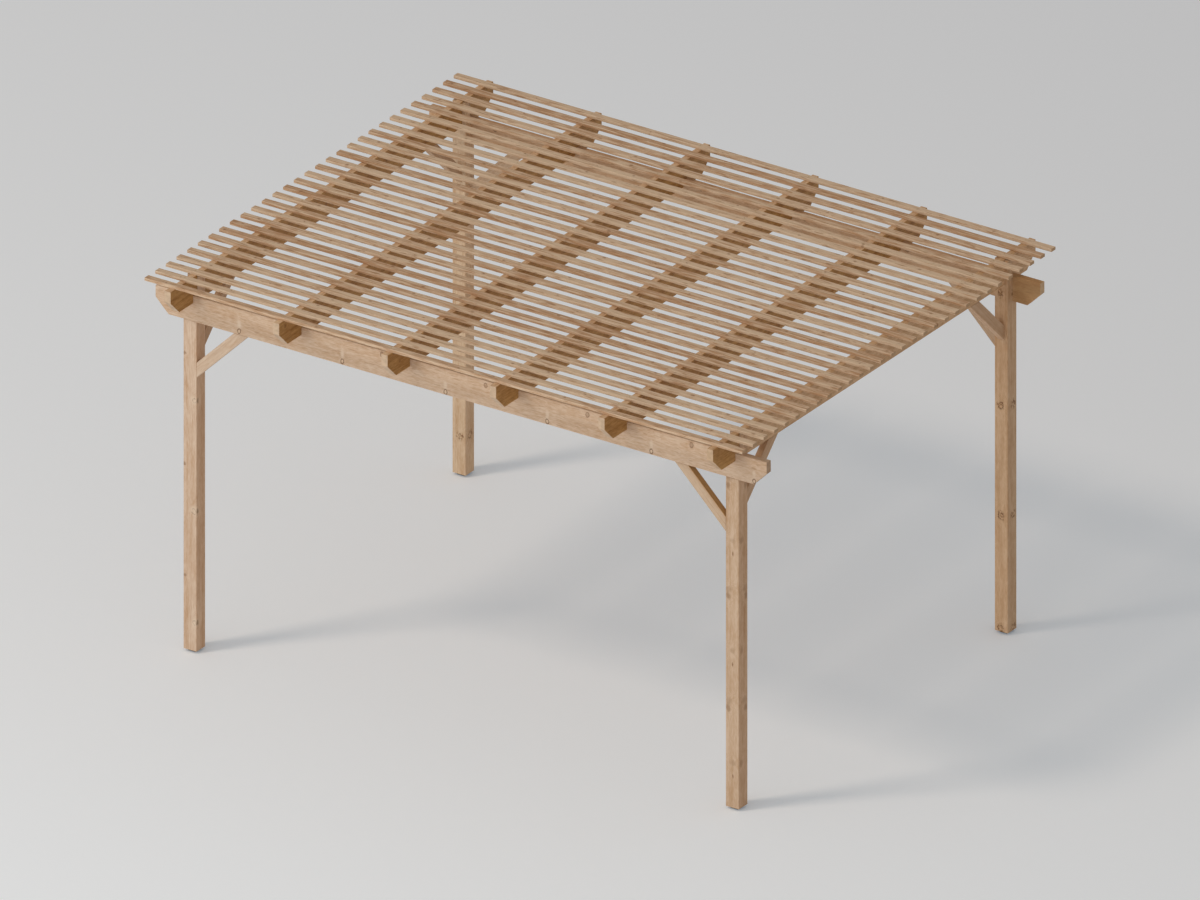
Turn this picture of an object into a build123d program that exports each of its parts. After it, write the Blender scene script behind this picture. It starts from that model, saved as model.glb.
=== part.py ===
from build123d import *
import os

# A free-standing timber pergola in millimetres. X runs along the beams, Y from front to back, Z up.
# The origin lies on the ground below the middle of the roof.

# Overall frame, measured over the outer faces of the posts
frame_width = 4000
frame_depth = 3000

# Posts and the pads that keep them off the ground
post_side = 95
post_shoulder = 2192  # from the foot of a post up to the seat of the beam
post_ease = 3
post_head_drop = 6  # the head ends this far below the battens
pad_side = 55
pad_height = 15
pad_ease = 3

# Front and back beams
beam_thickness = 45
beam_height = 170
beam_overhang = 200  # past the outer face of the posts
beam_end_cut = 95
beam_ease = 3

# Rafters across the beams
rafter_count = 6
rafter_thickness = 45
rafter_height = 170
rafter_overhang = 242  # past the outer face of the beams
rafter_end_cut = 95
rafter_ease = 2.5
rafter_notch = 50  # depth of the notch that drops over the beam

# Battens on the rafters
batten_count = 30
batten_width = 45
batten_height = 20
batten_overhang = 152  # past the outer face of the posts
batten_end_margin = 50  # from the end of a rafter to the first batten
batten_ease = 1.5
battens_per_group = 3

# Knee braces, with legs measured along the two timbers that they join
brace_thickness = 45
brace_depth = 70
beam_brace_leg = 367
rafter_brace_leg = 367
brace_ease = 2.5

# Room at each side of a timber in its notch or fork
joint_clearance = 0.5

# All cuts run past the timber by this much
cut_overrun = 10

# Levels above the ground
post_foot_level = pad_height
beam_seat_level = post_foot_level + post_shoulder
beam_top_level = beam_seat_level + beam_height
rafter_seat_level = beam_top_level - rafter_notch
batten_seat_level = rafter_seat_level + rafter_height
post_head_level = batten_seat_level - post_head_drop

# Places of the timbers
post_x = (frame_width - post_side) / 2
post_y = (frame_depth - post_side) / 2
beam_y = (frame_depth - beam_thickness) / 2
beam_length = frame_width + 2 * beam_overhang
rafter_length = frame_depth + 2 * rafter_overhang
rafter_spacing = 2 * post_x / (rafter_count - 1)
batten_length = frame_width + 2 * batten_overhang
batten_field = rafter_length - 2 * batten_end_margin
batten_pitch = (batten_field - batten_width) / (batten_count - 1)

sides = {"left": -1, "right": 1}
ends = {"front": -1, "back": 1}


def cut_block(width, depth, height):
    # A block for a cut, standing on the origin and centred on it.
    return Box(width, depth, height, align=(Align.CENTER, Align.CENTER, Align.MIN))


def cut_end_bar(plane, length, height, thickness, end_cut, ease):
    # A planed timber with both lower corners cut at 45 degrees, its underside on the origin.
    half = length / 2
    outline = Polyline(
        (-half, height),
        (half, height),
        (half, end_cut),
        (half - end_cut, 0),
        (end_cut - half, 0),
        (-half, end_cut),
        close=True,
    )
    bar = extrude(plane * make_face(outline), thickness / 2, both=True)
    grain = Axis((0, 0, 0), tuple(plane.x_dir))
    return chamfer(bar.edges().filter_by(grain), ease)


def post(end):
    # The outer half of the head is cut away for the beam, and the tongue that stays is forked.
    length = post_head_level - post_foot_level
    blank = cut_block(post_side, post_side, length)
    timber = chamfer(blank.edges().filter_by(Axis.Z), post_ease)
    housing = cut_block(
        post_side + 2 * cut_overrun,
        beam_thickness + cut_overrun,
        length - post_shoulder + cut_overrun,
    )
    housing_y = end * (post_side - beam_thickness + cut_overrun) / 2
    fork_floor = rafter_seat_level - post_foot_level
    fork = cut_block(
        rafter_thickness + 2 * joint_clearance,
        post_side + 2 * cut_overrun,
        length - fork_floor + cut_overrun,
    )
    return timber - Pos(0, housing_y, post_shoulder) * housing - Pos(0, 0, fork_floor) * fork


def pad():
    # A square pad, set in from the faces of the post, with its upright corners eased.
    block = cut_block(pad_side, pad_side, pad_height)
    return chamfer(block.edges().filter_by(Axis.Z), pad_ease)


def beam():
    return cut_end_bar(Plane.XZ, beam_length, beam_height, beam_thickness, beam_end_cut, beam_ease)


def rafter():
    # The notches drop over the beams and rest on their top edges.
    timber = cut_end_bar(
        Plane.YZ, rafter_length, rafter_height, rafter_thickness, rafter_end_cut, rafter_ease
    )
    notch = cut_block(
        rafter_thickness + 2 * cut_overrun,
        beam_thickness + 2 * joint_clearance,
        rafter_notch + cut_overrun,
    )
    for end in ends.values():
        timber -= Pos(0, end * beam_y, -cut_overrun) * notch
    return timber


def batten():
    bar = cut_block(batten_length, batten_width, batten_height)
    return chamfer(bar.edges().filter_by(Axis.X), batten_ease)


def knee_brace(plane, leg, side):
    # A mitred brace in the corner at the origin. It reaches down one leg and along the plane to one side.
    mitre = brace_depth * 2**0.5
    inner_leg = leg - mitre
    outline = Polyline(
        (0, -leg),
        (0, -inner_leg),
        (side * inner_leg, 0),
        (side * leg, 0),
        close=True,
    )
    brace = extrude(plane * make_face(outline), brace_thickness / 2, both=True)
    grain = Axis((0, 0, 0), tuple(plane.x_dir * side + plane.y_dir))
    return chamfer(brace.edges().filter_by(grain), brace_ease)


def post_pieces():
    # One post with its pad at each corner.
    pieces = {}
    for end_name, end in ends.items():
        for side_name, side in sides.items():
            corner = f"{end_name}_{side_name}"
            place = Pos(side * post_x, end * post_y, 0)
            pieces[f"post_{corner}"] = place * Pos(0, 0, post_foot_level) * post(end)
            pieces[f"pad_{corner}"] = place * pad()
    return pieces


def brace_pieces():
    # At each corner one brace under the beam and one under the outer rafter.
    pieces = {}
    brace_y = (frame_depth - brace_thickness) / 2
    for end_name, end in ends.items():
        for side_name, side in sides.items():
            corner = f"{end_name}_{side_name}"
            beam_corner = Pos(side * (post_x - post_side / 2), end * brace_y, beam_seat_level)
            rafter_corner = Pos(side * post_x, end * (post_y - post_side / 2), rafter_seat_level)
            pieces[f"beam_brace_{corner}"] = beam_corner * knee_brace(Plane.XZ, beam_brace_leg, -side)
            pieces[f"rafter_brace_{corner}"] = rafter_corner * knee_brace(Plane.YZ, rafter_brace_leg, -end)
    return pieces


def roof_pieces():
    # Two beams, the rafters that drop over them, and the battens in groups.
    pieces = {}
    for end_name, end in ends.items():
        pieces[f"beam_{end_name}"] = Pos(0, end * beam_y, beam_seat_level) * beam()
    for index in range(rafter_count):
        rafter_x = index * rafter_spacing - post_x
        pieces[f"rafter_{index + 1}"] = Pos(rafter_x, 0, rafter_seat_level) * rafter()
    first_y = (batten_width - batten_field) / 2
    places = [Pos(0, first_y + index * batten_pitch, batten_seat_level) for index in range(batten_count)]
    for start in range(0, batten_count, battens_per_group):
        group = [place * batten() for place in places[start : start + battens_per_group]]
        pieces[f"battens_{start // battens_per_group + 1:02d}"] = Compound(group)
    return pieces


os.makedirs("parts", exist_ok=True)
for name, piece in (post_pieces() | brace_pieces() | roof_pieces()).items():
    export_step(piece, f"parts/{name}.step")
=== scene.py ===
import bpy
import bmesh
import math
import random
from mathutils import Matrix, Vector


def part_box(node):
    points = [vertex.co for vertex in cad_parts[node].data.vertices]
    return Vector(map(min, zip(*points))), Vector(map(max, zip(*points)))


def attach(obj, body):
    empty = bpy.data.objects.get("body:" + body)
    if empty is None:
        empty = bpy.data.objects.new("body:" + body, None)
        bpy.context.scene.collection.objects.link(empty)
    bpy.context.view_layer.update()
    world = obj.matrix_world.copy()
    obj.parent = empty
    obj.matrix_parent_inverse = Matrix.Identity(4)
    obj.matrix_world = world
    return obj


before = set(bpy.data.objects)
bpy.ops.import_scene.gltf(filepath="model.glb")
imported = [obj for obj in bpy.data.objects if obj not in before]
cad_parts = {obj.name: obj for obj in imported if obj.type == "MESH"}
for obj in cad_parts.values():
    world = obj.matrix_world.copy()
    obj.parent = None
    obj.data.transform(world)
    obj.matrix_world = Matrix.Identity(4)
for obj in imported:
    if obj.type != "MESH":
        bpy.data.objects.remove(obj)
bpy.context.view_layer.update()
scene = bpy.context.scene
mm = 0.001
print("frame loaded:", len(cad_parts), "nodes")


def linear(hexColour):
    # sRGB hex to the linear values that the shader wants
    channels = [int(hexColour[i:i + 2], 16) / 255 for i in (1, 3, 5)]
    toLinear = [c / 12.92 if c <= 0.04045 else ((c + 0.055) / 1.055) ** 2.4 for c in channels]
    return (*toLinear, 1.0)


def addNode(tree, kind, settings=None, links=None):
    # one node: settings go to its properties, or to its inputs by name or number
    node = tree.nodes.new(kind)
    for key, value in (settings or {}).items():
        if isinstance(key, int) or key in node.inputs:
            node.inputs[key].default_value = value
        else:
            setattr(node, key, value)
    for key, socket in (links or {}).items():
        tree.links.new(socket, node.inputs[key])
    return node


def newMaterial(name):
    material = bpy.data.materials.new(name)
    material.use_nodes = True
    material.node_tree.nodes.clear()
    return material, material.node_tree


# camera: the photograph is a parallel view, fitted to the corners of the posts
cameraLook = {"azimuth": 33.69, "elevation": 25.86, "pixelsPerMetre": 166.91, "frameWidth": 1200,
              "frameHeight": 900, "originPixel": (600.0, 640.11), "distance": 20.0}


def makeCamera(look):
    a, e = math.radians(look["azimuth"]), math.radians(look["elevation"])
    right = Vector((math.cos(a), math.sin(a), 0))
    back = Vector((math.sin(a) * math.cos(e), -math.cos(a) * math.cos(e), math.sin(e)))
    up = back.cross(right)
    shiftX = (look["frameWidth"] / 2 - look["originPixel"][0]) / look["pixelsPerMetre"]
    shiftY = (look["originPixel"][1] - look["frameHeight"] / 2) / look["pixelsPerMetre"]
    data = bpy.data.cameras.new("photoCamera")
    data.type = "ORTHO"
    data.ortho_scale = look["frameWidth"] / look["pixelsPerMetre"]
    camera = bpy.data.objects.new("photoCamera", data)
    camera.location = right * shiftX + up * shiftY + back * look["distance"]
    camera.rotation_euler = (-back).to_track_quat("-Z", "Y").to_euler()
    scene.collection.objects.link(camera)
    scene.camera = camera


# light: a far, soft key from the front left, a low front fill and an even sky
lightLook = {
    "target": (0, 0, 1.0),
    "lamps": {
        "key": {"from": (-0.397, -0.510, 0.766), "distance": 90.0, "width": 17.3, "height": 17.3,
                "irradiance": 0.685, "colour": (1.0, 0.865, 0.725)},
        "fill": {"from": (-0.25, -0.95, 0.22), "distance": 20.0, "width": 36.0, "height": 10.0,
                 "irradiance": 1.15, "colour": (0.90, 0.97, 1.04)},
    },
    "sky": {"colour": (1.0, 0.94, 0.885, 1.0), "strength": 0.415},
}


def makeLights(look):
    for name, lampLook in look["lamps"].items():
        data = bpy.data.lights.new(name, "AREA")
        data.shape = "ELLIPSE"
        data.size, data.size_y = lampLook["width"], lampLook["height"]
        data.color = lampLook["colour"]
        # watts that give this level at the target
        data.energy = lampLook["irradiance"] * math.pi * lampLook["distance"] ** 2
        lamp = bpy.data.objects.new(name, data)
        direction = Vector(lampLook["from"]).normalized()
        lamp.location = Vector(look["target"]) + direction * lampLook["distance"]
        lamp.rotation_euler = (-direction).to_track_quat("-Z", "Y").to_euler()
        scene.collection.objects.link(lamp)
    world = bpy.data.worlds.new("evenSky")
    world.use_nodes = True
    background = world.node_tree.nodes["Background"]
    background.inputs["Color"].default_value = look["sky"]["colour"]
    background.inputs["Strength"].default_value = look["sky"]["strength"]
    scene.world = world


# floor: a pale sweep under a bluish painted glow that is brighter at the front and falls off towards the
# back, standing in for the fall of the lamps' light, with the front and back of that fall in metres along Y
floorLook = {"half": 60.0, "colour": "#f3f3f4", "front": -5.0, "frontGlow": (0.077, 0.117, 0.144, 1.0),
             "back": 9.0, "backGlow": (0.002, 0.039, 0.074, 1.0)}


def makeFloor(look):
    bm = bmesh.new()
    bmesh.ops.create_grid(bm, x_segments=1, y_segments=1, size=look["half"])
    mesh = bpy.data.meshes.new("floor")
    bm.to_mesh(mesh)
    bm.free()
    floor = bpy.data.objects.new("floor", mesh)
    scene.collection.objects.link(floor)
    # matt studio sweep with painted light: a glow that is seen by the eye alone and lights nothing
    material, tree = newMaterial("studioFloorPaintedGlow")
    path = addNode(tree, "ShaderNodeLightPath")
    eye = addNode(tree, "ShaderNodeMath", {"operation": "MAXIMUM"},
                  {0: path.outputs["Is Camera Ray"], 1: path.outputs["Is Glossy Ray"]})
    seen = addNode(tree, "ShaderNodeMath", {"operation": "MAXIMUM"},
                   {0: eye.outputs[0], 1: path.outputs["Is Transmission Ray"]})
    coords = addNode(tree, "ShaderNodeTexCoord")
    place = addNode(tree, "ShaderNodeSeparateXYZ", {}, {0: coords.outputs["Object"]})
    fall = addNode(tree, "ShaderNodeMapRange", {"From Min": look["front"], "From Max": look["back"]},
                   {"Value": place.outputs["Y"]})
    glow = addNode(tree, "ShaderNodeMix", {"data_type": "RGBA", 6: look["frontGlow"], 7: look["backGlow"]},
                   {0: fall.outputs[0]})
    diffuse = addNode(tree, "ShaderNodeBsdfDiffuse", {"Color": linear(look["colour"])})
    emission = addNode(tree, "ShaderNodeEmission", {},
                       {"Color": glow.outputs[2], "Strength": seen.outputs[0]})
    both = addNode(tree, "ShaderNodeAddShader", {}, {0: diffuse.outputs[0], 1: emission.outputs[0]})
    addNode(tree, "ShaderNodeOutputMaterial", {}, {"Surface": both.outputs[0]})
    floor.data.materials.append(material)


# planed pine, clear oiled: pale early wood and browner late wood in growth rings round the heart of the tree,
# with knots where branches grew. Sizes are in millimetres, along and across the grain. Real rings lie 2 to 3
# apart and fibres far closer, finer than a pixel of the whole view, so both are drawn coarser.
pineLook = {
    "early": "#d8bea3", "late": "#b9926c", "tone": 0.38,  # tone: how far the wood is from early to late
    "ring": 5.5, "ringWeight": 0.26, "latePower": 1.8, "lateMean": 0.36,
    "band": 26, "bandWeight": 0.7, "warp": (1100, 150), "warpBy": 26,
    "streak": (900, 14), "streakWeight": 0.95, "fibre": (110, 2.4),
    "blotch": (420, 75), "blotchWeight": 0.55, "smudge": (95, 30), "smudgeWeight": 0.6,
    "fleck": (34, 8), "fleckWeight": 0.5, "noiseMean": 0.5,
    "cutSpread": 40, "lotSpread": 30, "lotWeight": 0.5,  # spreads: metres between cuts from the tree
    "end": "#c9ab8c", "endDark": 0.82, "endMix": 0.5, "sawnFrom": (0.55, 0.68), "poresFrom": (0.35, 0.65),
    "resin": (170, 8), "resinMix": 0.0, "resinColour": "#8d6036", "resinFrom": (0.6, 0.72),
    "roughness": 0.58, "roughSpread": 0.12, "specular": 0.35,
    "bump": 0.35, "bumpDeep": 0.4, "ringBump": 0.5, "knots": [], "paintedShading": None,
}
# knots, with reaches counted in knot radii, and sizes of the bulge and the bark in millimetres
knotLook = {
    "heartReach": (0.3, 1.3), "rim": "#6f4a2d", "rimReach": 0.4, "bulge": 26, "bulgeReach": (0.2, 3.2),
    "bark": (13, 11), "barkFrom": (0.42, 0.56), "lumps": 0.8, "lotShift": 7.0,
}


def stretch(size):
    # pattern repeats per metre along and across the grain
    along, across = size
    return (1 / (along * mm), 1 / (across * mm), 1 / (across * mm))


def timberAxes(tree, coords, pine):
    # the piece's own axes: x along the grain, y through the face, z across it
    place = addNode(tree, "ShaderNodeMapping",
                    {"vector_type": "TEXTURE", "Location": pine["centre"], "Rotation": pine["turn"]},
                    {"Vector": coords.outputs["Object"]})
    own, lot = place.outputs[0], None
    # every piece is cut from another place in the tree
    chance = random.Random(pine["seed"])
    cut = [chance.uniform(-pine["cutSpread"], pine["cutSpread"]) for axis in range(3)]
    if "pitch" in pine:
        # pieces in a row: each takes its own number, and its own draw of chance from that
        axes = addNode(tree, "ShaderNodeSeparateXYZ", {}, {0: own})
        step = addNode(tree, "ShaderNodeMath", {"operation": "DIVIDE", 1: pine["pitch"]},
                       {0: axes.outputs["Z"]})
        number = addNode(tree, "ShaderNodeMath", {"operation": "ROUND"}, {0: step.outputs[0]})
        lot = addNode(tree, "ShaderNodeTexWhiteNoise", {"noise_dimensions": "1D"}, {"W": number.outputs[0]})
        back = addNode(tree, "ShaderNodeMath", {"operation": "MULTIPLY_ADD", 1: -pine["pitch"]},
                       {0: number.outputs[0], 2: axes.outputs["Z"]})
        joined = addNode(tree, "ShaderNodeCombineXYZ", {},
                         {"X": axes.outputs["X"], "Y": axes.outputs["Y"], "Z": back.outputs[0]})
        own = joined.outputs[0]
    stock = addNode(tree, "ShaderNodeVectorMath", {"operation": "ADD", 1: cut}, {0: own}).outputs[0]
    if lot:
        stock = addNode(tree, "ShaderNodeVectorMath",
                        {"operation": "MULTIPLY_ADD", 1: [pine["lotSpread"]] * 3},
                        {0: lot.outputs["Color"], 2: stock}).outputs[0]
    return own, stock, lot


def knotReach(tree, own, stock, lot, row):
    # distance from the nearest knot of a row, in knot radii, with an uneven outline
    axes = addNode(tree, "ShaderNodeSeparateXYZ", {}, {0: own})
    along = addNode(tree, "ShaderNodeMath",
                    {"operation": "MULTIPLY_ADD", 1: 1 / row["spacing"], 2: -row["start"] / row["spacing"]},
                    {0: axes.outputs["X"]})
    if lot:
        along = addNode(tree, "ShaderNodeMath", {"operation": "MULTIPLY_ADD", 1: knotLook["lotShift"]},
                        {0: lot.outputs["Value"], 2: along.outputs[0]})
    whorl = addNode(tree, "ShaderNodeMath", {"operation": "ROUND"}, {0: along.outputs[0]})
    key = addNode(tree, "ShaderNodeCombineXYZ", {"Y": row["seed"]},
                  {"X": whorl.outputs[0], **({"Z": lot.outputs["Value"]} if lot else {})})
    luck = addNode(tree, "ShaderNodeTexWhiteNoise", {"noise_dimensions": "3D"}, {"Vector": key.outputs[0]})
    shake = addNode(tree, "ShaderNodeSeparateColor", {}, {0: luck.outputs["Color"]})
    offWhorl = addNode(tree, "ShaderNodeMath", {"operation": "SUBTRACT"},
                       {0: along.outputs[0], 1: whorl.outputs[0]})
    shiftX = addNode(tree, "ShaderNodeMath",
                     {"operation": "MULTIPLY_ADD", 1: -row["loose"], 2: row["loose"] / 2},
                     {0: shake.outputs[0]})
    dx = addNode(tree, "ShaderNodeMath", {"operation": "MULTIPLY_ADD", 1: row["spacing"]},
                 {0: offWhorl.outputs[0], 2: shiftX.outputs[0]})
    shiftZ = addNode(tree, "ShaderNodeMath",
                     {"operation": "MULTIPLY_ADD", 1: -row["wander"], 2: row["wander"] / 2 - row["across"]},
                     {0: shake.outputs[1]})
    dz = addNode(tree, "ShaderNodeMath", {"operation": "ADD"},
                 {0: axes.outputs[row["side"]], 1: shiftZ.outputs[0]})
    flat = addNode(tree, "ShaderNodeCombineXYZ", {}, {"X": dx.outputs[0], "Y": dz.outputs[0]})
    if "face" in row:
        # a knot at an edge stays close to the face that it opens on
        depth = addNode(tree, "ShaderNodeMath", {"operation": "SUBTRACT", 1: row["face"]},
                        {0: axes.outputs["Y" if row["side"] == "Z" else "Z"]})
        tree.links.new(depth.outputs[0], flat.inputs["Z"])
    uneven = addNode(tree, "ShaderNodeTexNoise", {"Scale": knotLook["lumps"] / row["radius"], "Detail": 1.0},
                     {"Vector": stock})
    swing = 2 * row["uneven"] * row["radius"]
    nudge = addNode(tree, "ShaderNodeVectorMath",
                    {"operation": "MULTIPLY_ADD", 1: (swing, swing, 0), 2: (-swing / 2, -swing / 2, 0)},
                    {0: uneven.outputs["Color"]})
    bent = addNode(tree, "ShaderNodeVectorMath", {"operation": "MULTIPLY_ADD", 1: (1 / row["drawn"], 1, 1)},
                   {0: flat.outputs[0], 2: nudge.outputs[0]})
    far = addNode(tree, "ShaderNodeVectorMath", {"operation": "LENGTH"}, {0: bent.outputs[0]})
    size = addNode(tree, "ShaderNodeMapRange",
                   {"To Min": row["radius"] * row["least"], "To Max": row["radius"]},
                   {"Value": shake.outputs[2]})
    return addNode(tree, "ShaderNodeMath", {"operation": "DIVIDE"},
                   {0: far.outputs["Value"], 1: size.outputs[0]})


def pineTimber(name, look):
    pine = {**pineLook, **look}
    material, tree = newMaterial(name)
    coords = addNode(tree, "ShaderNodeTexCoord")
    own, stock, lot = timberAxes(tree, coords, pine)

    def figure(size, detail, roughness=0.5):
        # a cloudy pattern drawn out along the grain
        scaled = addNode(tree, "ShaderNodeVectorMath", {"operation": "MULTIPLY", 1: stretch(size)},
                         {0: stock})
        return addNode(tree, "ShaderNodeTexNoise", {"Scale": 1.0, "Detail": detail, "Roughness": roughness},
                       {"Vector": scaled.outputs[0]})

    reaches = [knotReach(tree, own, stock, lot, row) for row in pine["knots"]]
    nearest = None
    for reach in reaches:
        nearest = addNode(tree, "ShaderNodeMath", {"operation": "MINIMUM"},
                          {0: nearest.outputs[0], 1: reach.outputs[0]}) if nearest else reach

    # growth rings round a heart that wanders, bulging round the knots
    warp = figure(pine["warp"], 2.0)
    centred = addNode(tree, "ShaderNodeVectorMath", {"operation": "SUBTRACT", 1: (0.5, 0.5, 0.5)},
                      {0: warp.outputs["Color"]})
    wander = addNode(tree, "ShaderNodeVectorMath", {"operation": "SCALE", "Scale": pine["warpBy"] * mm * 2},
                     {0: centred.outputs[0]})
    pith = [coordinate * mm for coordinate in pine["pith"]]
    fromPith = addNode(tree, "ShaderNodeVectorMath", {"operation": "SUBTRACT", 1: pith}, {0: own})
    bent = addNode(tree, "ShaderNodeVectorMath", {"operation": "ADD"},
                   {0: fromPith.outputs[0], 1: wander.outputs[0]})
    tilted = addNode(tree, "ShaderNodeVectorRotate", {"rotation_type": "EULER_XYZ", "Rotation": pine["tilt"]},
                     {"Vector": bent.outputs[0]})
    across = addNode(tree, "ShaderNodeVectorMath", {"operation": "MULTIPLY", 1: (0, 1, 1)},
                     {0: tilted.outputs[0]})
    distance = addNode(tree, "ShaderNodeVectorMath", {"operation": "LENGTH"}, {0: across.outputs[0]})
    radius = distance.outputs["Value"]
    if nearest:
        close, clear = knotLook["bulgeReach"]
        bulge = addNode(tree, "ShaderNodeMapRange",
                        {"interpolation_type": "SMOOTHERSTEP", "From Min": close, "From Max": clear,
                         "To Min": knotLook["bulge"] * mm, "To Max": 0.0},
                        {"Value": nearest.outputs[0]})
        swollen = addNode(tree, "ShaderNodeMath", {"operation": "ADD"}, {0: radius, 1: bulge.outputs[0]})
        radius = swollen.outputs[0]
    years = addNode(tree, "ShaderNodeMath", {"operation": "DIVIDE", 1: pine["ring"] * mm}, {0: radius})
    season = addNode(tree, "ShaderNodeMath", {"operation": "FRACT"}, {0: years.outputs[0]})
    late = addNode(tree, "ShaderNodeMath", {"operation": "POWER", 1: pine["latePower"]},
                   {0: season.outputs[0]})
    decade = addNode(tree, "ShaderNodeMath", {"operation": "DIVIDE", 1: pine["band"] * mm}, {0: radius})
    bands = addNode(tree, "ShaderNodeTexNoise", {"noise_dimensions": "1D", "Scale": 1.0, "Detail": 2.0},
                    {"W": decade.outputs[0]})
    streaks = figure(pine["streak"], 3.0, 0.6)
    fibres = figure(pine["fibre"], 2.0)
    smudges = figure(pine["smudge"], 3.0)
    # each pattern with its weight and its mean, summed to how brown the wood is
    mean = pine["noiseMean"]
    patterns = [(late, pine["ringWeight"], pine["lateMean"]), (bands, pine["bandWeight"], mean),
                (streaks, pine["streakWeight"], mean),
                (figure(pine["blotch"], 2.0), pine["blotchWeight"], mean),
                (smudges, pine["smudgeWeight"], mean),
                (figure(pine["fleck"], 1.0), pine["fleckWeight"], mean)]
    if lot:
        patterns.append((lot, pine["lotWeight"], mean))
    tone = None
    start = pine["tone"] - sum(weight * usual for part, weight, usual in patterns)
    for part, weight, usual in patterns:
        tone = addNode(tree, "ShaderNodeMath", {"operation": "MULTIPLY_ADD", 1: weight, 2: start},
                       {0: part.outputs[0], **({2: tone.outputs[0]} if tone else {})})
    colour = addNode(tree, "ShaderNodeMix",
                     {"data_type": "RGBA", 6: linear(pine["early"]), 7: linear(pine["late"])},
                     {0: tone.outputs[0]})
    paintedShading = pine["paintedShading"]
    if paintedShading:
        # painted light and shade: another tone over a given span of the piece, darker where it stands in for
        # shade and paler where it stands in for light
        paintedTone = addNode(tree, "ShaderNodeMix",
                       {"data_type": "RGBA", 6: linear(paintedShading["early"]), 7: linear(paintedShading["late"])},
                       {0: tone.outputs[0]})
        axes = addNode(tree, "ShaderNodeSeparateXYZ", {}, {0: own})
        paintedSpan = None
        for axis, (spanFrom, spanTo) in paintedShading["reach"].items():
            part = addNode(tree, "ShaderNodeMapRange",
                           {"interpolation_type": "SMOOTHSTEP", "From Min": spanFrom * mm, "From Max": spanTo * mm},
                           {"Value": axes.outputs[axis]})
            paintedSpan = addNode(tree, "ShaderNodeMath", {"operation": "MULTIPLY"},
                            {0: paintedSpan.outputs[0], 1: part.outputs[0]}) if paintedSpan else part
        colour = addNode(tree, "ShaderNodeMix", {"data_type": "RGBA"},
                         {0: paintedSpan.outputs[0], 6: colour.outputs[2], 7: paintedTone.outputs[2]})
    if pine["resinMix"]:
        # thin resin streaks here and there
        dry, wet = pine["resinFrom"]
        resin = addNode(tree, "ShaderNodeMapRange",
                        {"interpolation_type": "SMOOTHSTEP", "From Min": dry, "From Max": wet,
                         "To Max": pine["resinMix"]},
                        {"Value": figure(pine["resin"], 1.0).outputs[0]})
        colour = addNode(tree, "ShaderNodeMix", {"data_type": "RGBA", 7: linear(pine["resinColour"])},
                         {0: resin.outputs[0], 6: colour.outputs[2]})
    # sawn ends, square or at 45 degrees, show the cut fibres in another tone
    normal = addNode(tree, "ShaderNodeVectorMath", {"operation": "DOT_PRODUCT", 1: pine["grain"]},
                     {0: coords.outputs["Normal"]})
    facing = addNode(tree, "ShaderNodeMath", {"operation": "ABSOLUTE"}, {0: normal.outputs["Value"]})
    (planed, cross), (shut, wide) = pine["sawnFrom"], pine["poresFrom"]
    sawn = addNode(tree, "ShaderNodeMapRange",
                   {"From Min": planed, "From Max": cross, "To Max": pine["endMix"]},
                   {"Value": facing.outputs[0]})
    pores = addNode(tree, "ShaderNodeMapRange", {"From Min": shut, "From Max": wide},
                    {"Value": smudges.outputs[0]})
    pale = linear(pine["end"])
    dark = (*[channel * pine["endDark"] for channel in pale[:3]], 1.0)
    endGrain = addNode(tree, "ShaderNodeMix", {"data_type": "RGBA", 6: pale, 7: dark}, {0: pores.outputs[0]})
    colour = addNode(tree, "ShaderNodeMix", {"data_type": "RGBA"},
                     {0: sawn.outputs[0], 6: colour.outputs[2], 7: endGrain.outputs[2]})
    for row, reach in zip(pine["knots"], reaches):
        inside, outside = knotLook["heartReach"]
        heart = addNode(tree, "ShaderNodeMapRange",
                        {"interpolation_type": "SMOOTHSTEP", "From Min": inside, "From Max": outside,
                         "To Min": row["heart"], "To Max": 0.0},
                        {"Value": reach.outputs[0]})
        marks = [(heart, row["colour"])]
        if row["ring"]:
            off = addNode(tree, "ShaderNodeMath", {"operation": "SUBTRACT", 1: 1.0}, {0: reach.outputs[0]})
            gap = addNode(tree, "ShaderNodeMath", {"operation": "ABSOLUTE"}, {0: off.outputs[0]})
            rim = addNode(tree, "ShaderNodeMapRange",
                          {"interpolation_type": "SMOOTHSTEP", "From Min": 0.0,
                           "From Max": knotLook["rimReach"], "To Min": row["ring"], "To Max": 0.0},
                          {"Value": gap.outputs[0]})
            marks.append((rim, knotLook["rim"]))
        for mark, tint in marks:
            if row.get("broken"):
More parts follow.
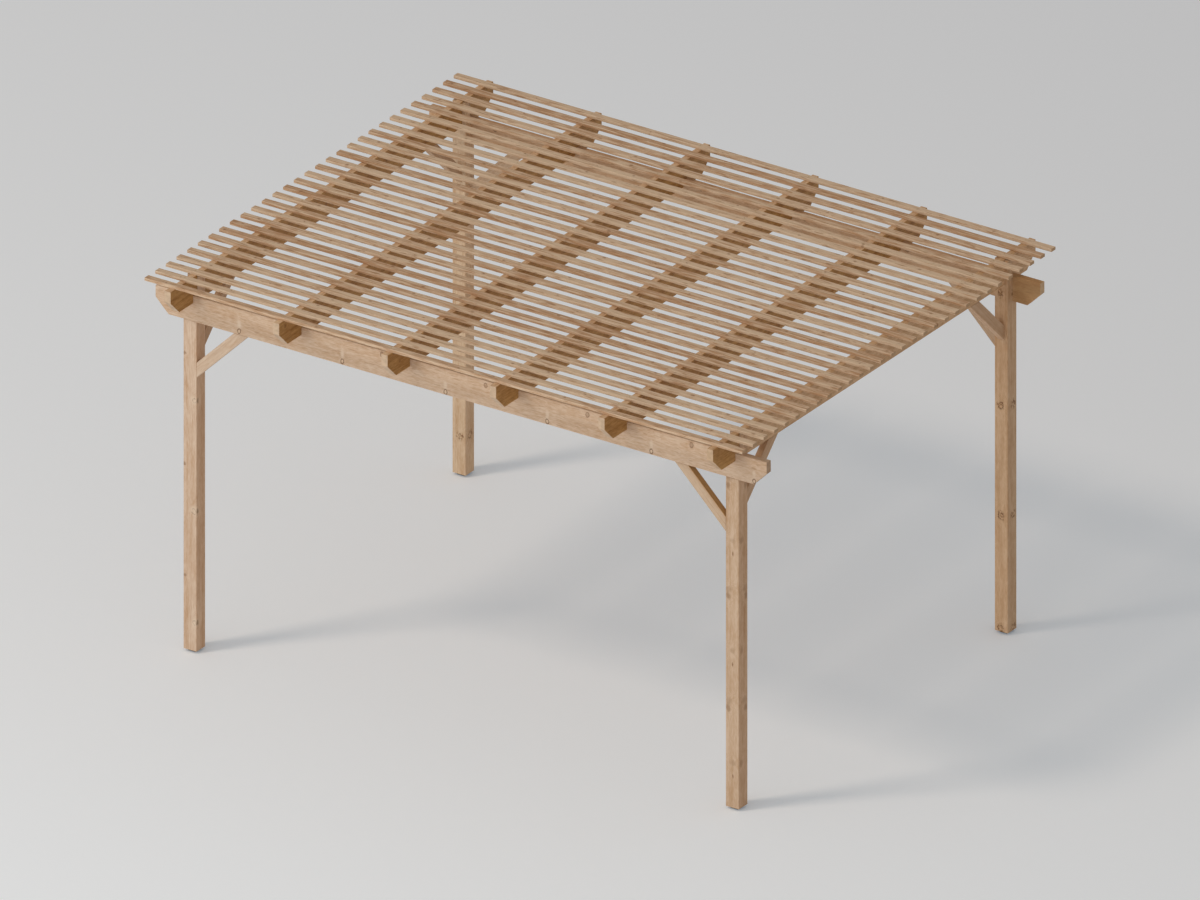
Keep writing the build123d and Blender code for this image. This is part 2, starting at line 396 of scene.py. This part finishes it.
                # bark and resin stay in the knot only here and there
                bare, full = knotLook["barkFrom"]
                bits = addNode(tree, "ShaderNodeMapRange", {"From Min": bare, "From Max": full},
                               {"Value": figure(knotLook["bark"], 1.0).outputs[0]})
                mark = addNode(tree, "ShaderNodeMath", {"operation": "MULTIPLY"},
                               {0: mark.outputs[0], 1: bits.outputs[0]})
            colour = addNode(tree, "ShaderNodeMix", {"data_type": "RGBA", 7: linear(tint)},
                             {0: mark.outputs[0], 6: colour.outputs[2]})
    rough = addNode(tree, "ShaderNodeMapRange",
                    {"To Min": pine["roughness"] - pine["roughSpread"],
                     "To Max": pine["roughness"] + pine["roughSpread"]},
                    {"Value": streaks.outputs[0]})
    height = addNode(tree, "ShaderNodeMath", {"operation": "MULTIPLY_ADD", 1: pine["ringBump"]},
                     {0: late.outputs[0], 2: fibres.outputs[0]})
    bump = addNode(tree, "ShaderNodeBump", {"Strength": pine["bump"], "Distance": pine["bumpDeep"] * mm},
                   {"Height": height.outputs[0]})
    shader = addNode(tree, "ShaderNodeBsdfPrincipled", {"Specular IOR Level": pine["specular"]},
                     {"Base Color": colour.outputs[2], "Roughness": rough.outputs[0],
                      "Normal": bump.outputs[0]})
    addNode(tree, "ShaderNodeOutputMaterial", {}, {"Surface": shader.outputs[0]})
    return material


def clothe(nodeName, material):
    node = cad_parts[nodeName]
    node.data.materials.clear()
    node.data.materials.append(material)


def turned(grain, through):
    # euler turn of the axes: x along the grain, y through the face
    x, y = Vector(grain).normalized(), Vector(through).normalized()
    return Matrix((x, y, x.cross(y))).transposed().to_euler("XYZ")


def middle(nodeName):
    low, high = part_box(nodeName)
    return (Vector(low) + Vector(high)) / 2


up, acrossX, acrossY = (0, 0, 1), (1, 0, 0), (0, 1, 0)
ends = {"front": -1, "back": 1}
sides = {"left": -1, "right": 1}
whorlSpacing = 0.741  # metres between whorls of branches on the trees for posts and beams

# posts: each has its own tone, another one painted on its right side as painted shade, and knots at the
# heights that the photograph shows. A knot's place is its height, and its distance from the middle of the
# face, in metres
postLook = {
    "seed": 11, "knotSeed": 10,
    "pine": {"pith": (0, 70, 55), "tilt": (0, 0.006, -0.008), "smudgeWeight": 0.9, "blotchWeight": 0.8,
             "fleckWeight": 0.8},
    "side": {"Z": (-43, -47)},  # the skin of the right side that takes the painted shade, in millimetres from the middle
    "knot": {"spacing": whorlSpacing, "loose": 0.01, "wander": 0.006, "least": 0.8, "drawn": 1.1,
             "uneven": 0.5, "colour": "#7d5630", "heart": 0.0, "ring": 0.0},
    "corners": {
        "front_left": {
            "early": "#dac2aa", "late": "#bb9572", "paintedShadeEarly": "#dabc9e", "paintedShadeLate": "#bb906a",
            "knots": [
                {"height": 0.203, "side": "Z", "across": -0.034, "face": -0.0475, "radius": 0.034,
                 "colour": "#e6d3bb", "heart": 0.5},
                {"height": 0.203, "side": "Z", "across": -0.0475, "face": -0.036, "radius": 0.012,
                 "drawn": 2.0, "colour": "#77562c", "heart": 0.7},
                {"height": 0.203, "side": "Z", "across": -0.030, "face": -0.0475, "radius": 0.014,
                 "ring": 0.5, "broken": True},
                {"height": 0.505, "side": "Z", "across": 0.036, "radius": 0.013, "heart": 0.6},
            ]},
        "front_right": {
            "early": "#d2b89d", "late": "#b48e68", "paintedShadeEarly": "#d0b091", "paintedShadeLate": "#b2885f",
            "knots": [
                {"height": 0.312, "side": "Y", "across": -0.019, "radius": 0.024, "heart": 0.3},
                {"height": 0.312, "side": "Z", "across": -0.006, "radius": 0.02, "heart": 0.25},
                {"height": 0.222, "side": "Z", "across": -0.0045, "radius": 0.006, "drawn": 2.6,
                 "heart": 0.8},
                {"height": 0.72, "side": "Z", "across": 0.022, "radius": 0.026, "heart": 0.3},
                {"height": 0.672, "side": "Z", "across": 0.027, "radius": 0.017, "drawn": 1.9, "heart": 0.55},
                {"height": 0.72, "side": "Y", "across": 0.015, "radius": 0.026, "heart": 0.3},
                {"height": 0.668, "side": "Y", "across": 0.025, "radius": 0.017, "drawn": 1.9, "heart": 0.5},
            ]},
        "back_left": {
            "early": "#dbc3a5", "late": "#bb956e", "paintedShadeEarly": "#ddc1a0", "paintedShadeLate": "#bd936a",
            "knots": [
                {"height": 0.264, "side": side, "across": across, "radius": radius, "heart": heart,
                 "ring": ring, "uneven": 0.7, "broken": True, "colour": "#8a5f30"}
                for side, across in (("Z", -0.008), ("Y", 0.004))
                for radius, heart, ring in ((0.032, 0.6, 0.0), (0.018, 0.0, 0.8))
            ]},
        "back_right": {
            "early": "#d5b592", "late": "#b68b61", "paintedShadeEarly": "#ccae8d", "paintedShadeLate": "#ae855d",
            "knots": [
                {"height": 0.042, "side": side, "across": across, "radius": radius, "heart": heart,
                 "ring": ring, "uneven": 0.7, "broken": True, "colour": "#8a5f30"}
                for side, across in (("Z", 0.004), ("Y", 0.01))
                for radius, heart, ring in ((0.034, 0.8, 0.0), (0.019, 0.0, 1.0))
            ]},
    },
}


def makePosts(look):
    for number, (corner, own) in enumerate(look["corners"].items()):
        centre = middle("post_" + corner)
        knots = [{**look["knot"], "start": knot["height"] - centre.z, "seed": look["knotSeed"] * number,
                  **knot} for knot in own["knots"]]
        # the right side's own tone is painted shade for the shade on that side
        paintedShading = {"early": own["paintedShadeEarly"], "late": own["paintedShadeLate"], "reach": look["side"]}
        pine = {**look["pine"], "early": own["early"], "late": own["late"], "grain": up,
                "turn": turned(up, acrossY), "centre": centre, "knots": knots, "paintedShading": paintedShading,
                "seed": look["seed"] + number}
        clothe("post_" + corner, pineTimber("planedPinePost." + corner, pine))


# beams: ringed knots low on the face with a pale patch over them, and darker ones near the top edge. The back
# beam is more golden, and deepens in colour where it runs past the right post, painted shade for the shade
# there
beamLook = {
    "seed": 21,
    "pine": {"early": "#d8bfa5", "late": "#b9936e", "end": "#a88a6e", "endMix": 0.7, "bandWeight": 0.5,
             "streakWeight": 0.5, "smudge": (70, 26), "smudgeWeight": 1.0, "blotchWeight": 0.7,
             "fleckWeight": 0.9, "resin": (60, 7), "resinMix": 0.3, "pith": (0, 80, 20),
             "tilt": (0, 0.008, 0.010)},
    "back": {"early": "#d5b695", "late": "#b68c63", "end": "#d0b18d", "endMix": 0.9,
             # painted shade: a deeper tone where the back beam runs past the right post
             "paintedShading": {"early": "#bf9a6d", "late": "#a37649", "reach": {"X": (1940, 2040)}}},
    "backShift": 0.33,  # metres that the whorls of the back beam lie further along
    "knot": {"spacing": whorlSpacing, "loose": 0.012, "wander": 0.008, "least": 0.85, "drawn": 0.75,
             "uneven": 0.35, "side": "Z", "ring": 0.0},
    "knots": [
        {"start": -1.60, "across": -0.012, "radius": 0.036, "drawn": 0.4, "colour": "#e2cfb8", "heart": 0.55,
         "seed": 31},
        {"start": -1.60, "across": -0.060, "radius": 0.016, "colour": "#dcc4a6", "heart": 0.5, "ring": 0.95,
         "seed": 31},
        {"start": 0.174, "across": 0.060, "radius": 0.017, "colour": "#7d5430", "heart": 0.4, "ring": 0.7,
         "seed": 41},
    ],
}


def makeBeams(look):
    for number, end in enumerate(ends):
        knots = [{**look["knot"], **row, "start": row["start"] + look["backShift"] * number,
                  "seed": row["seed"] + number} for row in look["knots"]]
        pine = {**look["pine"], **look.get(end, {}), "grain": acrossX, "turn": turned(acrossX, acrossY),
                "centre": middle("beam_" + end), "knots": knots, "seed": look["seed"] + number}
        clothe("beam_" + end, pineTimber("planedPineBeam." + end, pine))


# rafters: golden, pale at the sawn ends, with a deeper tone on their right sides that is painted shade for
# the shade those sides lie in.
# The last one has it only at its front end
rafterLook = {
    "seed": 61, "knotSeed": 51,
    "pine": {"early": "#e1c19d", "late": "#bc9169", "end": "#d3b99c", "endMix": 0.9, "smudgeWeight": 1.2,
             "bandWeight": 1.2, "streak": (500, 20), "streakWeight": 1.5, "fleckWeight": 1.2,
             "tilt": (0, 0.008, 0.008)},
    "last": {"early": "#d3b08a", "late": "#b0885e", "end": "#d0b291"},
    # painted shade: a deep golden tone on the right sides
    "paintedShading": {"early": "#bb9057", "late": "#92632f"},
    "reach": {"Y": (-17, -22)},
    "lastReach": {"Y": (-17, -22), "X": (-1300, -1600)},
    "knot": {"spacing": 0.58, "loose": 0.2, "wander": 0.12, "radius": 0.014, "least": 0.3, "drawn": 1.2,
             "uneven": 0.5, "side": "Z", "across": 0.0, "colour": "#7a4f28", "heart": 0.6, "ring": 0.0},
    # from one rafter to the next the knots start further on, in metres, and the heart lies elsewhere
    "knotStep": 0.1, "pith": (0, 75, -18), "pithStep": 12,
}


def rafterNames():
    return sorted(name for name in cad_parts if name.startswith("rafter_") and "brace" not in name)


def makeRafters(look):
    names = rafterNames()
    for number, name in enumerate(names):
        last = name == names[-1]
        knot = {**look["knot"], "start": look["knotStep"] * number, "seed": look["knotSeed"] + number}
        along, through, across = look["pith"]
        paintedShading = {**look["paintedShading"], "reach": look["lastReach" if last else "reach"]}
        pine = {**look["pine"], **(look["last"] if last else {}), "grain": acrossY,
                "turn": turned(acrossY, (-1, 0, 0)), "centre": middle(name), "knots": [knot],
                "pith": (along, through, across + look["pithStep"] * number), "paintedShading": paintedShading,
                "seed": look["seed"] + number}
        clothe(name, pineTimber("planedPineRafter." + str(number + 1), pine))


# battens: every one from another board, some browner, flecked, with small knots and resin streaks
battenLook = {
    "inGroup": 3,
    "pine": {"early": "#d8bfa2", "late": "#b58c67", "end": "#b39069", "endMix": 0.8, "ringWeight": 0.5,
             "streak": (600, 9), "streakWeight": 1.2, "blotchWeight": 0.5, "smudgeWeight": 1.1,
             "fleck": (150, 8), "fleckWeight": 2.8, "resin": (90, 9), "resinMix": 0.6, "lotWeight": 0.85,
             "pith": (0, -60, 10), "tilt": (0, 0.006, 0.008), "seed": 72},
    "knot": {"spacing": 0.48, "start": 0.0, "loose": 0.3, "wander": 0.03, "radius": 0.011, "least": 0.2,
             "drawn": 1.4, "uneven": 0.5, "side": "Z", "across": 0.0, "colour": "#85552c", "heart": 0.6,
             "ring": 0.0, "seed": 71},
}


def battenNames():
    return [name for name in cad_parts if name.startswith("battens_")]


def battenRow():
    # pitch of the battens and the middle of the first one
    low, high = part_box("battens_01")
    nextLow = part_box("battens_02")[0]
    pitch = (nextLow[1] - low[1]) / battenLook["inGroup"]
    width = high[1] - low[1] - (battenLook["inGroup"] - 1) * pitch
    return pitch, Vector((0, low[1] + width / 2, (low[2] + high[2]) / 2))


def makeBattens(look):
    pitch, first = battenRow()
    pine = {**look["pine"], "grain": acrossX, "turn": turned(acrossX, up), "centre": first, "pitch": pitch,
            "knots": [look["knot"]]}
    material = pineTimber("planedPineBatten", pine)
    for name in battenNames():
        clothe(name, material)


# braces: those under the rafters are browner, the front left one under the beam is the palest, and the front
# right one has a deeper tone on its upper side, painted shade. The back right one under the rafter is paler
# below, painted light from the floor
braceLook = {
    "seed": 80,
    "pine": {"endMix": 0.0, "pith": (0, 50, 25), "tilt": (0, 0.01, 0.01)},
    "beam": {"early": "#ceb69b", "late": "#b18b67"},
    "rafter": {"early": "#c7a98b", "late": "#ab825b"},
    "own": {
        "beam_brace_front_left": {"early": "#d9c4ad", "late": "#ba9775"},
        # painted light: paler below, where light from the floor falls
        "rafter_brace_back_right": {
            "paintedShading": {"early": "#dabc9e", "late": "#bb9168", "reach": {"Z": (5, 1)}}},
        # painted shade: deeper on the upper side
        "beam_brace_front_right": {
            "paintedShading": {"early": "#c29c6a", "late": "#9e7543", "reach": {"Z": (-65, -69)}}},
    },
}


def makeBraces(look):
    number = 0
    for end, y in ends.items():
        for side, x in sides.items():
            for kind, along, through in (("beam", (-x, 0, 1), acrossY), ("rafter", (0, -y, 1), acrossX)):
                name = kind + "_brace_" + end + "_" + side
                along = Vector(along).normalized()
                pine = {**look["pine"], **look[kind], **look["own"].get(name, {}), "grain": along,
                        "turn": turned(along, through), "centre": middle(name), "seed": look["seed"] + number}
                clothe(name, pineTimber("planedPineBrace." + kind + "." + end + "." + side, pine))
                number += 1


# foot pads: moulded rubber granulate, dark and matt with paler crumbs 3 mm across
padLook = {"dark": "#3a3835", "pale": "#56524c", "crumb": 3.0, "roughness": 0.85, "bump": 0.4,
           "bumpDeep": 0.5}


def makePads(look):
    material, tree = newMaterial("granulateRubber")
    coords = addNode(tree, "ShaderNodeTexCoord")
    crumbs = addNode(tree, "ShaderNodeTexVoronoi", {"Scale": 1 / (look["crumb"] * mm)},
                     {"Vector": coords.outputs["Object"]})
    colour = addNode(tree, "ShaderNodeMix",
                     {"data_type": "RGBA", 6: linear(look["dark"]), 7: linear(look["pale"])},
                     {0: crumbs.outputs["Color"]})
    bump = addNode(tree, "ShaderNodeBump", {"Strength": look["bump"], "Distance": look["bumpDeep"] * mm},
                   {"Height": crumbs.outputs["Distance"]})
    shader = addNode(tree, "ShaderNodeBsdfPrincipled", {"Roughness": look["roughness"]},
                     {"Base Color": colour.outputs[2], "Normal": bump.outputs[0]})
    addNode(tree, "ShaderNodeOutputMaterial", {}, {"Surface": shader.outputs[0]})
    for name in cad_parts:
        if name.startswith("pad_"):
            clothe(name, material)


# screws: one countersunk head where each batten crosses a rafter, sizes in millimetres
screwLook = {"head": 8.0, "rim": 6.8, "thick": 0.7, "drive": 3.4, "driveDeep": 0.3, "segments": 12,
             "colour": "#c3ab76", "roughness": 0.38}


def makeScrews(look):
    pitch, first = battenRow()
    count = battenLook["inGroup"] * len(battenNames())
    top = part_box("battens_01")[1][2]
    drawnIn = (look["rim"] - look["drive"]) / 2 * mm
    bm = bmesh.new()
    for rafter in rafterNames():
        for number in range(count):
            place = Matrix.Translation((middle(rafter).x, first.y + number * pitch, top))
            made = bmesh.ops.create_cone(
                bm, cap_ends=True, segments=look["segments"], radius1=look["head"] / 2 * mm,
                radius2=look["rim"] / 2 * mm, depth=look["thick"] * mm, matrix=place)
            faces = {face for vert in made["verts"] for face in vert.link_faces}
            crown = max(faces, key=lambda face: face.calc_center_median().z)
            bmesh.ops.inset_region(bm, faces=[crown], thickness=drawnIn)
            sunk = bmesh.ops.extrude_face_region(bm, geom=[crown])
            bmesh.ops.translate(bm, vec=(0, 0, -look["driveDeep"] * mm),
                                verts=[part for part in sunk["geom"] if isinstance(part, bmesh.types.BMVert)])
            bmesh.ops.delete(bm, geom=[crown], context="FACES_ONLY")
    mesh = bpy.data.meshes.new("battenScrews")
    bm.to_mesh(mesh)
    bm.free()
    screws = bpy.data.objects.new("battenScrews", mesh)
    scene.collection.objects.link(screws)
    # yellow-passivated steel: a warm, slightly dull shine that sits close to the colour of the wood
    material, tree = newMaterial("yellowPassivatedSteel")
    shader = addNode(tree, "ShaderNodeBsdfPrincipled",
                     {"Base Color": linear(look["colour"]), "Metallic": 1.0,
                      "Roughness": look["roughness"]})
    addNode(tree, "ShaderNodeOutputMaterial", {}, {"Surface": shader.outputs[0]})
    screws.data.materials.append(material)
    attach(screws, "root")


makeCamera(cameraLook)
makeLights(lightLook)
makeFloor(floorLook)
print("camera, lights and floor ready")
makePosts(postLook)
makeBeams(beamLook)
print("posts and beams ready")
makeRafters(rafterLook)
makeBattens(battenLook)
makeBraces(braceLook)
print("rafters, battens and braces ready")
makePads(padLook)
print("pads ready")
makeScrews(screwLook)
print("screws ready")
scene.view_settings.view_transform = "Standard"
